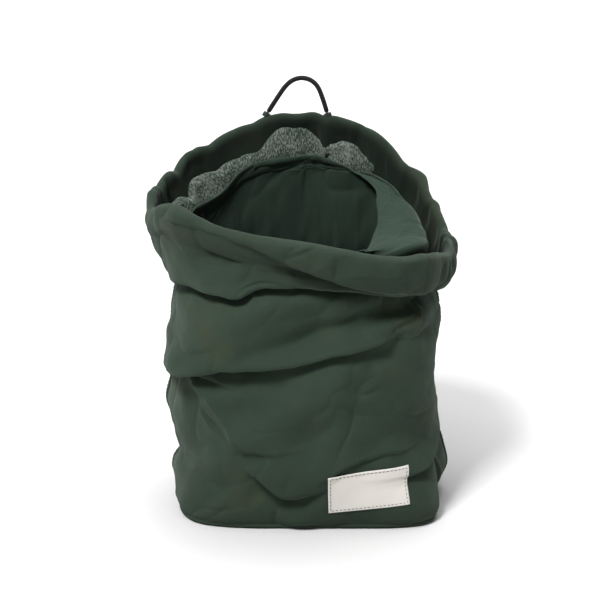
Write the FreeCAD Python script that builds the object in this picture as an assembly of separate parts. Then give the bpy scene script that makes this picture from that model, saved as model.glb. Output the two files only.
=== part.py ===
"""Drawstring storage bag of cotton cloth, standing open as it does when it is full.

Frame: millimetres, +Z up, front towards -Y, origin on the floor under the middle of the bag.
The bag is a lined shell on a boxed base, with an inner sack whose collar stands free inside the mouth.
A cloth tunnel, the casing, runs round the rim and holds a cord. A bight of the cord leaves the casing
at the back. The front of the rim folds up about a line through the two side corners of the mouth.
"""

import FreeCAD, Part

import math
import os

from FreeCAD import Vector

# ---- Body -------------------------------------------------------------------------------------
BODY_WIDTH = 221.0          # left to right, filled
BODY_DEPTH = 152.0          # front to back, filled
SQUARENESS = 2.7            # of the outline from above: 2 is an ellipse, and more is squarer
BASE_SQUARENESS = 4.6       # and of the outline at the base
CORNER_HEIGHT = 75.0        # up to which the squarer corners of the base show
BASE_TUCK = 4.0             # how far the wall draws in where it meets the base
WAIST_TUCK = 4.0            # how far it draws in below the rim
RIM_FLARE_SIDE = 10.0       # how far the rim stands out at the sides
RIM_FLARE_FRONT = 1.0       # and at the front and back

# ---- Rim: height of its upper edge at eight places ----------------------------------------------
RIM_RIGHT = 226.0
RIM_BACK_RIGHT = 263.0
RIM_BACK = 311.0
RIM_BACK_LEFT = 281.0
RIM_LEFT = 258.0
RIM_FRONT_LEFT = 262.0
RIM_FRONT = 250.0
RIM_FRONT_RIGHT = 240.0

# ---- Cloth --------------------------------------------------------------------------------------
SHELL_THICK = 1.2
LINING_THICK = 0.8
SACK_THICK = 0.8
LAYER_GAP = 0.6             # between one layer of cloth and the next
LINING_BOTTOM = 150.0       # the lining hangs from the casing down to here
SACK_TOP = 188.0            # the inner sack's wall ends here, and its collar goes on
# The collar at the same eight places as the rim: from the rim's upper edge down to the collar's, and
# how far the collar leans in at its middle. Its upper edge leans in by COLLAR_EDGE everywhere.
COLLAR_DROPS = (13.0, 20.0, 32.0, 30.0, 28.0, 24.0, 24.0, 18.0)
COLLAR_LEANS = (26.0, 16.0, 9.0, 14.0, 16.0, 9.0, 7.0, 13.0)
COLLAR_EDGE = 7.0

# ---- Casing and cord ----------------------------------------------------------------------------
CASING_HEIGHT = 26.0
CASING_PUFF = 8.6           # thickness of the tunnel, outside
CASING_CLOTH = 1.0
CASING_INSET = 1.0          # its middle lies this far inside the wall's outer face
CORD_DIAMETER = 4.0
CORD_FIT = 0.3              # clearance between cord and buttonhole
BUTTONHOLE_WALL = 1.0
BUTTONHOLE_LENGTH = 3.5
FOOT_GAP = 0.6              # between a round foot of the bight and the buttonhole below it
END_GAP = 0.3               # between two lengths of cord that meet end to end

# The bight of cord at the back, from its left foot over the top to its right one: distance right of
# the middle, back from the feet, and up from the feet. Its legs tilt about the line through the feet.
BIGHT_ROUTE = (
    (-29.0, 0.0, 0.0),
    (-21.7, 0.3, 11.8),
    (-12.3, 1.0, 24.7),
    (-0.8, 1.5, 28.2),
    (10.1, 1.2, 23.3),
    (15.4, 0.5, 11.4),
    (18.7, 0.0, 0.0),
)
FOOT_RISE = 2.8             # from the top of the casing up to the feet
LEG_HEIGHT = 10.5           # each leg ends, and the top of the bight begins, this far above the feet

# ---- Trim ---------------------------------------------------------------------------------------
LABEL_WIDTH = 66.0
LABEL_HEIGHT = 31.0
LABEL_THICK = 0.6
LABEL_X = 52.5              # middle of the label
LABEL_Z = 39.0
LABEL_TILT = 8.5            # degrees, its right end up
SEAM_WIDTH = 5.0
SEAM_PROUD = 1.2
SURFACE_GAP = 0.3           # between the shell's outer face and what is sewn to it
BASE_SEAM_HEIGHT = 3.0

# ---- Fold of the front lip ------------------------------------------------------------------------
FOLD_SLOPE = 32.0           # degrees: the fold line runs down from the corners to the front
FOLD_GAP = 0.4              # between the lip and the wall below it
CORNER_GAP = 1.5            # the lip starts this far in front of the line through the corners

FAR = 600.0                 # larger than the bag, for cutting tools
ROUND_STEPS = 24            # stations round half of the outline
RISE_SPACING = 9.0          # height between stations up a wall, at most
RING_STEPS = 16             # stations round the casing's section

OUT = "parts"


# ---- The bag's outline ----------------------------------------------------------------------------
def smooth(x):
    """0 up to x = 0, 1 from x = 1, and a smooth step between."""
    x = min(1.0, max(0.0, x))
    return x * x * (3.0 - 2.0 * x)


def round_rim(values, angle):
    """Smooth curve through values that are evenly spaced round the rim. Angle is in degrees, 0 at
    the right and 90 at the back."""
    count = len(values)
    place = (angle % 360.0) / 360.0 * count
    i = int(place) % count
    t = place - int(place)
    before, here, there, after = (values[(i + k) % count] for k in (-1, 0, 1, 2))
    return here + 0.5 * t * (there - before + t * (2 * before - 5 * here + 4 * there - after
                                                   + t * (3 * (here - there) + after - before)))


def rim_height(angle):
    """Height of the rim's upper edge."""
    return round_rim((RIM_RIGHT, RIM_BACK_RIGHT, RIM_BACK, RIM_BACK_LEFT,
                      RIM_LEFT, RIM_FRONT_LEFT, RIM_FRONT, RIM_FRONT_RIGHT), angle)


def wall_point(angle, height, inset=0.0):
    """Point of the shell's outer face, or of the face that lies inset further in."""
    share = height / rim_height(angle)
    tuck = BASE_TUCK * (1.0 - smooth(share / 0.15))
    waist = WAIST_TUCK * smooth((share - 0.5) / 0.3) * (1.0 - smooth((share - 0.85) / 0.12))
    flare = smooth((share - 0.8) / 0.18)
    turn = math.radians(angle)
    across, along = math.cos(turn), math.sin(turn)
    half_width = BODY_WIDTH / 2 - tuck - waist + RIM_FLARE_SIDE * flare - inset
    half_depth = BODY_DEPTH / 2 - tuck - waist + RIM_FLARE_FRONT * flare - inset
    power = 2.0 / SQUARENESS
    across = math.copysign(abs(across) ** power, across)
    along = math.copysign(abs(along) ** power, along)
    corner = (abs(across) ** BASE_SQUARENESS + abs(along) ** BASE_SQUARENESS) ** (-1.0 / BASE_SQUARENESS)
    corner = 1.0 + (corner - 1.0) * (1.0 - smooth(height / CORNER_HEIGHT))
    return Vector(half_width * across * corner, half_depth * along * corner, height)


def spread(start, end, steps):
    """steps + 1 numbers from start to end."""
    return [start + (end - start) * k / steps for k in range(steps + 1)]


# ---- Solids ---------------------------------------------------------------------------------------
def surface_through(grid):
    surface = Part.BSplineSurface()
    surface.interpolate(grid)
    return surface


def edges_round(surface):
    """The four boundary edges of a surface."""
    u0, u1, v0, v1 = surface.bounds()
    return [surface.uIso(u0).toShape(), surface.uIso(u1).toShape(),
            surface.vIso(v0).toShape(), surface.vIso(v1).toShape()]


def solid_between(outer_grid, inner_grid, closed=False):
    """A closed solid between two surfaces that have the same number of points. closed says that
    each row of points comes back to its start."""
    outer, inner = surface_through(outer_grid), surface_through(inner_grid)
    rims = list(zip(edges_round(outer), edges_round(inner)))[:2 if closed else 4]
    sides = [Part.makeRuledSurface(a, b) for a, b in rims]
    shell = Part.makeShell([outer.toShape(), inner.toShape()] + [face for s in sides for face in s.Faces])
    shell.sewShape()
    solid = Part.makeSolid(Part.Shell(shell.Faces))
    if solid.Volume < 0:
        solid.reverse()
    return solid


def cloth(start, end, bottom, top, outside, inside, steps=ROUND_STEPS):
    """Cloth along the wall from angle start to end. bottom and top give heights at an angle, and
    outside and inside give insets at an angle and a share of the way up."""
    outer_grid, inner_grid = [], []
    angles = spread(start, end, steps)
    rise = max(top(angle) - bottom(angle) for angle in angles)
    shares = spread(0.0, 1.0, max(4, math.ceil(rise / RISE_SPACING)))
    for angle in angles:
        low, high = bottom(angle), top(angle)
        heights = [low + (high - low) * share for share in shares]
        outer_grid.append([wall_point(angle, z, outside(angle, u)) for z, u in zip(heights, shares)])
        inner_grid.append([wall_point(angle, z, inside(angle, u)) for z, u in zip(heights, shares)])
    return solid_between(outer_grid, inner_grid)


def layer(start, end, bottom, top, inset, thick, steps=ROUND_STEPS):
    """Cloth of even thickness that lies inset inside the shell's outer face."""
    return cloth(start, end, bottom, top,
                 lambda angle, u: inset, lambda angle, u: inset + thick, steps)


def level(height):
    """The same height at every angle."""
    return lambda angle: height


def outline_face(height, inset):
    """Flat face inside the wall's outline at a height."""
    angles = spread(0.0, 360.0, 4 * ROUND_STEPS)[:-1]
    curve = Part.BSplineCurve()
    curve.interpolate([wall_point(a, height, inset) for a in angles], PeriodicFlag=True)
    return Part.Face(Part.Wire(curve.toShape()))


def rounded_path(points):
    """A wire of straight runs joined by tangent arcs, and the smallest radius in it."""
    edges, radii, start = [], [], points[0]
    for before, corner, after in zip(points, points[1:], points[2:]):
        into, out = corner - before, after - corner
        half_turn = into.getAngle(out) / 2
        reach = 0.45 * min(into.Length, out.Length)
        radii.append(reach / math.tan(half_turn))
        into.normalize()
        out.normalize()
        first, last = corner - into * reach, corner + out * reach
        bisector = (out - into).normalize()
        middle = corner + bisector * (radii[-1] / math.cos(half_turn) - radii[-1])
        edges.append(Part.LineSegment(start, first).toShape())
        edges.append(Part.Arc(first, middle, last).toShape())
        start = last
    edges.append(Part.LineSegment(start, points[-1]).toShape())
    return Part.Wire(edges), min(radii)


def cord_along(points, name):
    """A round cord along a rounded path. It prints the tightest radius and checks the volume."""
    path, tightest = rounded_path(points)
    section = Part.Wire(Part.Circle(points[0], points[1] - points[0], CORD_DIAMETER / 2).toShape())
    solid = path.makePipeShell([section], True, False)
    expected = path.Length * math.pi * CORD_DIAMETER ** 2 / 4
    print("%s: length %.1f mm, tightest radius %.1f mm, volume %.3f of section times length"
          % (name, path.Length, tightest, solid.Volume / expected))
    return solid


# ---- The fold of the front lip ----------------------------------------------------------------------
def corner(angle):
    """A side corner of the mouth, at the rim's upper edge."""
    return wall_point(angle, rim_height(angle))


def fold_axis():
    """(a point on the fold line, its direction): a positive turn lifts the lip."""
    left, right = corner(180.0), corner(0.0)
    direction = (left - right).normalize()
    return (left + right) * 0.5, direction


def lip_region(gap):
    """All that turns with the lip: in front of the corners and above the fold's plane."""
    middle, along = fold_axis()
    front = Vector(0, -1, 0)
    up = along.cross(front) * -1.0
    if up.z < 0:
        up = up * -1.0
    fall = math.tan(math.radians(FOLD_SLOPE))
    start = CORNER_GAP + gap
    profile = [(start, gap - start * fall), (FAR, gap - FAR * fall), (FAR, FAR), (start, FAR)]
    corners = [middle - along * FAR + front * f + up * u for f, u in profile]
    return Part.Face(Part.makePolygon(corners + corners[:1])).extrude(along * (2 * FAR))


def split_at_fold(solid):
    """(what stays with the bag, what turns with the lip)."""
    stays = solid.cut(lip_region(-FOLD_GAP / 2))
    turns = solid.common(lip_region(FOLD_GAP / 2))
    return stays, turns


# ---- Shell, lining and inner sack --------------------------------------------------------------------
WALL_BOTTOM = SHELL_THICK + LAYER_GAP
LINING_INSET = SHELL_THICK + LAYER_GAP
SACK_INSET = LINING_INSET + LINING_THICK + LAYER_GAP


def below_casing(angle):
    return rim_height(angle) - CASING_HEIGHT - SURFACE_GAP


def shell_wall(start, end):
    return layer(start, end, level(WALL_BOTTOM), below_casing, 0.0, SHELL_THICK)


def lining_wall(start, end):
    return layer(start, end, level(LINING_BOTTOM), below_casing, LINING_INSET, LINING_THICK)


def sack_wall(start, end):
    bottom = WALL_BOTTOM + SACK_THICK + LAYER_GAP
    return layer(start, end, level(bottom), level(SACK_TOP), SACK_INSET, SACK_THICK)


def collar_wall(start, end):
    """The free upper part of the inner sack, which leans in from the wall."""
    def outside(angle, share):
        lean = round_rim(COLLAR_LEANS, angle) * math.sin(math.pi * smooth(share))
        return SACK_INSET + lean + COLLAR_EDGE * smooth(share)

    def inside(angle, share):
        return outside(angle, share) + SACK_THICK

    return cloth(start, end, level(SACK_TOP + LAYER_GAP),
                 lambda a: rim_height(a) - round_rim(COLLAR_DROPS, a), outside, inside)


def base_panel():
    return outline_face(0.0, 0.0).extrude(Vector(0, 0, SHELL_THICK))


def sack_base():
    """The inner sack's base, which lies on the base panel."""
    return outline_face(WALL_BOTTOM, SACK_INSET).extrude(Vector(0, 0, SACK_THICK))


# ---- Casing --------------------------------------------------------------------------------------------
def casing_middle(angle):
    return wall_point(angle, rim_height(angle) - CASING_HEIGHT / 2, CASING_INSET)


def casing_section(angle, shrink):
    """Points round the tunnel's elliptical section, taken in by shrink, from its foot and back to it."""
    centre = casing_middle(angle)
    along = casing_middle(angle + 0.5) - casing_middle(angle - 0.5)
    if abs(angle % 180.0) < 1e-6:
        along = Vector(0, 1 if angle % 360.0 < 90.0 else -1, 0)
    along.normalize()
    up = (wall_point(angle, rim_height(angle), CASING_INSET) - centre).normalize()
    out = along.cross(up).normalize()
    half_height, half_puff = CASING_HEIGHT / 2 - shrink, CASING_PUFF / 2 - shrink
    turns = [math.radians(t) for t in spread(-90.0, 270.0, RING_STEPS)]
    points = [centre + out * (half_puff * math.cos(t)) + up * (half_height * math.sin(t)) for t in turns]
    return points[:-1] + points[:1]


def casing_tunnel(start, end):
    """Hollow tunnel of cloth along the rim, open at its ends."""
    angles = spread(start, end, ROUND_STEPS)
    return solid_between([casing_section(a, 0.0) for a in angles],
                         [casing_section(a, CASING_CLOTH) for a in angles], closed=True)


def angle_at_back(x):
    """Angle at which the back half of the casing's middle line is at x."""
    low, high = 0.0, 180.0
    for _ in range(50):
        middle = (low + high) / 2
        if casing_middle(middle).x > x:
            low = middle
        else:
            high = middle
    return (low + high) / 2


def foot_line():
    """(y, z) of the line through the bight's two feet."""
    angle = angle_at_back((BIGHT_ROUTE[0][0] + BIGHT_ROUTE[-1][0]) / 2)
    top = max(casing_middle(angle_at_back(BIGHT_ROUTE[side][0])).z for side in (0, -1))
    return casing_middle(angle).y, top + CASING_HEIGHT / 2 + FOOT_RISE


def bight_point(entry):
    """A point of the bight's route in the bag's frame."""
    x, back, up = entry
    y, z = foot_line()
    return Vector(x, y + back, z + up)


def foot(side):
    """(foot of the bight, direction in which the cord leaves it): side 0 is left and -1 right."""
    start = bight_point(BIGHT_ROUTE[side])
    after = bight_point(BIGHT_ROUTE[1 if side == 0 else -2])
    return start, (after - start).normalize()


def buttonhole_tools(side):
    """(bound hole round a leg of the cord, the cut that it needs in the casing)."""
    start, direction = foot(side)
    bore = CORD_DIAMETER / 2 + CORD_FIT
    wall = bore + BUTTONHOLE_WALL
    head = start - direction * (CORD_DIAMETER / 2 + FOOT_GAP)
    bottom = head - direction * BUTTONHOLE_LENGTH
    ring = Part.makeCylinder(wall, BUTTONHOLE_LENGTH, bottom, direction)
    ring = ring.cut(Part.makeCylinder(bore, BUTTONHOLE_LENGTH, bottom, direction))
    room = Part.makeCylinder(wall + CORD_FIT, 4 * BUTTONHOLE_LENGTH, bottom - direction, direction)
    way_in = Part.makeCylinder(bore, CASING_HEIGHT / 2, head - direction * (CASING_HEIGHT / 2), direction)
    return ring, room.fuse(way_in)


# ---- Cord ------------------------------------------------------------------------------------------------
def bight():
    """The whole bight, from foot to foot, with round feet on which it tilts."""
    cord = cord_along([bight_point(p) for p in BIGHT_ROUTE], "bight")
    for side in (0, -1):
        start, direction = foot(side)
        ball = Part.makeSphere(CORD_DIAMETER / 2, start)
        behind = Part.makeCylinder(CORD_DIAMETER, CORD_DIAMETER, start, -direction)
        cord = cord.fuse(ball.common(behind))
    return cord.removeSplitter()


def held_cord():
    """The cord inside the casing, from the right foot round the front to the left foot."""
    (right, right_way), (left, left_way) = foot(-1), foot(0)
    gap = CORD_DIAMETER / 2 + FOOT_GAP
    straight = FOOT_RISE + CASING_HEIGHT / 2 - gap
    ease = 3.0 * CORD_DIAMETER
    points = [right - right_way * gap, right - right_way * (gap + straight)]
    first, last = angle_at_back(points[-1].x + ease), angle_at_back((left - left_way * straight).x - ease)
    points += [casing_middle(a) for a in spread(first, last - 360.0, 2 * ROUND_STEPS)]
    points += [left - left_way * (gap + straight), left - left_way * gap]
    return cord_along(points, "held cord")


# ---- Trim --------------------------------------------------------------------------------------------------
def label():
    """Woven label on the lower right of the front."""
    skin = layer(200.0, 340.0, level(2.0), level(LABEL_Z + LABEL_WIDTH), -SURFACE_GAP - LABEL_THICK, LABEL_THICK)
    cutter = Part.makeBox(LABEL_WIDTH, FAR, LABEL_HEIGHT, Vector(-LABEL_WIDTH / 2, -FAR, -LABEL_HEIGHT / 2))
    cutter.rotate(Vector(0, 0, 0), Vector(0, -1, 0), LABEL_TILT)
    cutter.translate(Vector(LABEL_X, 0, LABEL_Z))
    return skin.common(cutter)


def side_seam(angle):
    """Felled seam that stands proud of the shell at one side."""
    half = math.degrees(math.asin((SEAM_WIDTH / BODY_DEPTH) ** (SQUARENESS / 2)))
    foot = WALL_BOTTOM + BASE_SEAM_HEIGHT + SURFACE_GAP
    return layer(angle - half, angle + half, level(foot), below_casing,
                 -SURFACE_GAP - SEAM_PROUD, SEAM_PROUD, 6)


def base_seam():
    """Seam allowance that runs round the foot of the wall."""
    halves = [layer(a, a + 180.0, level(WALL_BOTTOM), level(WALL_BOTTOM + BASE_SEAM_HEIGHT),
                    -SURFACE_GAP - SEAM_PROUD, SEAM_PROUD) for a in (0.0, 180.0)]
    return halves[0].fuse(halves[1])


# ---- Assembly --------------------------------------------------------------------------------------------------
def pieces():
    """Every piece of the bag as {name: shape}."""
    back, front = (0.0, 180.0), (180.0, 360.0)
    made = {
        "base_panel": base_panel(),
        "back_panel": shell_wall(*back),
        "back_lining": lining_wall(*back),
        "sack_back": sack_wall(*back),
        "sack_front": sack_wall(*front),
        "sack_base": sack_base(),
        "collar_back": collar_wall(*back),
        "collar_front": collar_wall(*front),
        "side_seam_left": side_seam(180.0),
        "side_seam_right": side_seam(0.0),
        "base_seam": base_seam(),
        "label": label(),
    }
    made["front_panel"], made["lip_panel"] = split_at_fold(shell_wall(*front))
    made["front_lining"], made["lip_lining"] = split_at_fold(lining_wall(*front))
    made["casing_corners"], made["lip_casing"] = split_at_fold(casing_tunnel(*front))
    made["cord_in_back_casing"], made["cord_in_lip"] = split_at_fold(held_cord())

    back_casing = casing_tunnel(*back)
    for name, side in (("left", 0), ("right", -1)):
        ring, cut = buttonhole_tools(side)
        made["buttonhole_" + name] = ring
        back_casing = back_casing.cut(cut)
    made["back_casing"] = back_casing

    whole = bight()
    split = foot_line()[1] + LEG_HEIGHT
    above = Part.makeBox(2 * FAR, 2 * FAR, FAR, Vector(-FAR, -FAR, split + END_GAP / 2))
    below = Part.makeBox(2 * FAR, 2 * FAR, FAR, Vector(-FAR, -FAR, split - END_GAP / 2 - FAR))
    made["cord_bight"] = whole.common(above)
    for leg in whole.common(below).Solids:
        side = "left" if leg.BoundBox.Center.x < BIGHT_ROUTE[len(BIGHT_ROUTE) // 2][0] else "right"
        made["cord_leg_" + side] = leg
    return made


def main():
    os.makedirs(OUT, exist_ok=True)
    for name, shape in pieces().items():
        solids = shape.Solids
        if not solids or not all(s.isValid() and s.Volume > 0 for s in solids):
            raise SystemExit("%s is not a valid solid" % name)
        kept = solids[0] if len(solids) == 1 else Part.Compound(solids)
        kept.exportStep(os.path.join(OUT, name + ".step"))
        box = kept.BoundBox
        print("%-20s %d solid(s)  x %.1f to %.1f  y %.1f to %.1f  z %.1f to %.1f"
              % (name, len(solids), box.XMin, box.XMax, box.YMin, box.YMax, box.ZMin, box.ZMax))
    point, direction = fold_axis()
    print("fold line through (%.3f, %.3f, %.3f) along (%.6f, %.6f, %.6f)" % (*point, *direction))
    print("line through the bight's feet at y %.3f, z %.3f, and legs end at z %.3f"
          % (*foot_line(), foot_line()[1] + LEG_HEIGHT))


main()
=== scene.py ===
"""A lined drawstring bag of dark green cotton, standing open in the shape that it takes when it is full.

Metres, +Z up, the front towards -Y. The cloth is cut as flat sheets here: a place on it is (round, height),
where round is the distance along the outline of the bag, 0 in the middle of the front and growing to the
right, and height is above the floor. Both are in millimetres until mesh() turns them into metres.
"""

import math

import bpy
import numpy as np
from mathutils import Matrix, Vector


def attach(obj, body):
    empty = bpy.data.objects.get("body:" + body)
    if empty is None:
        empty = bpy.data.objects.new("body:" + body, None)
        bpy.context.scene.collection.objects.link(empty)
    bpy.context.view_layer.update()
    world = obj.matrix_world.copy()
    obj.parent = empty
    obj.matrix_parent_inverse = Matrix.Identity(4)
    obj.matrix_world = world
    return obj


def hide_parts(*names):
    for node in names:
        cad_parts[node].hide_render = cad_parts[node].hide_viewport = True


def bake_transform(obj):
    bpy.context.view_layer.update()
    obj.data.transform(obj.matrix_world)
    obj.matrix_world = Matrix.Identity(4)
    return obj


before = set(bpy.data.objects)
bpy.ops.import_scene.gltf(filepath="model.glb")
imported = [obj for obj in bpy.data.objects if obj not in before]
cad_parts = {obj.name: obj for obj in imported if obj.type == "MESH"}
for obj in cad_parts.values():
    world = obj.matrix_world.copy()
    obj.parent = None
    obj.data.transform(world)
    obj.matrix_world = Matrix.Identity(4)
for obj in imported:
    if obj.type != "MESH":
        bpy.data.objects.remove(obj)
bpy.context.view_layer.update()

MM = 0.001

# ---- Sizes, as in the solid model --------
BODY_WIDTH, BODY_DEPTH = 221.0, 152.0
SQUARENESS = 2.7                    # of the outline from above
BASE_SQUARENESS, CORNER_HEIGHT = (4.4, 6.5), 75.0     # (left, right) at the base, and up to where
BASE_TUCK, WAIST_TUCK = 4.0, 4.0
FLARE_SIDE, FLARE_FRONT = 10.0, 1.0
RIM = (226.0, 263.0, 311.0, 281.0, 258.0, 262.0, 250.0, 240.0)
CASING = 26.0                       # height of the cord's tunnel
LINING_BOTTOM = 150.0
LINING_INSET, SACK_INSET = 2.0, 3.6
LEAN = 3.0                          # the mouth leans to the left of the base
CLOTH, LINING_CLOTH, SACK_CLOTH = 0.7, 0.5, 0.4        # thicknesses
SEAM_CLOTH, SEAM_HALF = 0.5, 2.6     # the side seams' thickness and half their width
WALL_RUN = 210.0                    # up the flat cloth, from the floor to the casing
FLOOR_GAP = 1.6                     # the outer cloth starts this high
STITCH, STITCH_GAP = 2.6, 0.9       # lengths of the seams' stitches and of the gaps between
CORD_RADIUS = 2.0


# ---- Outline and wall --------
def smooth(x):
    x = np.clip(x, 0.0, 1.0)
    return x * x * (3.0 - 2.0 * x)


def between(a, b, c, d, t):
    """Catmull-Rom curve from b to c, at t from 0 to 1."""
    return b + 0.5 * t * (c - a + t * (2 * a - 5 * b + 4 * c - d + t * (3 * (b - c) + d - a)))


def running_length(points):
    return np.concatenate([[0.0], np.cumsum(np.linalg.norm(np.diff(points, axis=0), axis=1))])


def round_rim(values, angle):
    """Smooth curve through values evenly spaced round the rim, 0 degrees at the right, 90 at the back."""
    values, count = np.array(values), len(values)
    place = (angle % 360.0) / 360.0 * count
    i = np.floor(place).astype(int) % count
    t = place - np.floor(place)
    return between(*(values[(i + k) % count] for k in (-1, 0, 1, 2)), t)


def plain_wall(angle, height, inset):
    """The wall without folds, inset from its outer face."""
    share = height / round_rim(RIM, angle)
    tuck = BASE_TUCK * (1.0 - smooth(share / 0.15))
    waist = WAIST_TUCK * smooth((share - 0.5) / 0.3) * (1.0 - smooth((share - 0.85) / 0.12))
    flare = smooth((share - 0.8) / 0.18)
    across, along = np.cos(np.radians(angle)), np.sin(np.radians(angle))
    half_width = BODY_WIDTH / 2 - tuck - waist + (FLARE_SIDE - LEAN * across) * flare - inset
    half_depth = BODY_DEPTH / 2 - tuck - waist + FLARE_FRONT * flare - inset
    power = 2.0 / SQUARENESS
    squareness = np.where(across > 0, BASE_SQUARENESS[1], BASE_SQUARENESS[0])
    across, along = np.sign(across) * np.abs(across) ** power, np.sign(along) * np.abs(along) ** power
    corner = (np.abs(across) ** squareness + np.abs(along) ** squareness) ** (-1.0 / squareness)
    corner = 1.0 + (corner - 1.0) * (1.0 - smooth(height / CORNER_HEIGHT))
    return np.stack([half_width * across * corner + LEAN * (1.0 - smooth(share)),
                     half_depth * along * corner, height + 0.0 * angle], -1)


ANGLES = np.linspace(270.0, 630.0, 7201)
LENGTHS = running_length(plain_wall(ANGLES, np.full_like(ANGLES, 120.0), 0.0))
GIRTH = float(LENGTHS[-1])
SIDE = GIRTH / 4                    # from the middle of the front to a side seam


def angle_at(place):
    return np.interp(np.asarray(place, float) % GIRTH, LENGTHS, ANGLES)


def wall(place, height, inset=0.0):
    return plain_wall(angle_at(place), np.asarray(height, float), inset)


# ---- Patterns of numbers --------
def lattice(seed, *counts):
    return np.random.default_rng(seed).uniform(-1.0, 1.0, counts)


def ripple(place, cell, seed):
    """Smooth uneven wave along the outline, from -1 to 1, which closes on itself."""
    count = max(4, int(round(GIRTH / cell)))
    knots = lattice(seed, count)
    at = (np.asarray(place, float) % GIRTH) / GIRTH * count
    i = np.floor(at).astype(int)
    t = at - i
    return between(*(knots[(i + k) % count] for k in (-1, 0, 1, 2)), t)


def crumple(place, height, cell, seed, tall=1.0):
    """Smooth uneven field over the cloth, about -1 to 1. tall stretches it up the wall."""
    count = max(4, int(round(GIRTH / cell)))
    rows = int(400.0 / (cell * tall)) + 4
    knots = lattice(seed, rows, count)
    u = (np.asarray(place, float) % GIRTH) / GIRTH * count
    v = np.clip(np.asarray(height, float) / (cell * tall) + 1.0, 0.0, rows - 2.001)
    i, j = np.floor(u).astype(int), np.floor(v).astype(int)
    s, t = smooth(u - i), smooth(v - j)
    near = knots[j, i % count] * (1 - s) + knots[j, (i + 1) % count] * s
    far = knots[j + 1, i % count] * (1 - s) + knots[j + 1, (i + 1) % count] * s
    return near * (1 - t) + far * t


# ---- Folds --------
def centred(place):
    """Distance round from the middle of the front, from minus half the girth to plus half."""
    return (np.asarray(place, float) + GIRTH / 2) % GIRTH - GIRTH / 2


def smooth_line(points, pieces=4):
    """Rows of a Catmull-Rom curve through points, which may carry more than two numbers each."""
    p = np.array(points, float)
    p = np.vstack([2 * p[0] - p[1], p, 2 * p[-1] - p[-2]])
    rows = []
    for a, b, c, d in zip(p, p[1:], p[2:], p[3:]):
        rows += [between(a, b, c, d, t) for t in np.linspace(0, 1, pieces, endpoint=False)]
    return np.array(rows + [p[-2]])


def distance_to(line, x, z):
    """(signed distance, strength there): positive on the left of the line's direction."""
    best = np.full(x.shape, 1e9)
    signed, strength = np.zeros(x.shape), np.zeros(x.shape)
    for a, b in zip(line, line[1:]):
        run = b[:2] - a[:2]
        length = float(run @ run)
        t = np.clip(((x - a[0]) * run[0] + (z - a[1]) * run[1]) / length, 0.0, 1.0)
        dx, dz = x - a[0] - t * run[0], z - a[1] - t * run[1]
        gap = np.hypot(dx, dz)
        nearer = gap < best
        best = np.where(nearer, gap, best)
        side = np.sign(run[0] * dz - run[1] * dx)
        signed = np.where(nearer, gap * np.where(side == 0, 1.0, side), signed)
        strength = np.where(nearer, a[2] + t * (b[2] - a[2]), strength)
    return signed, strength


FOLD_DEPTH = 1.35

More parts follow.
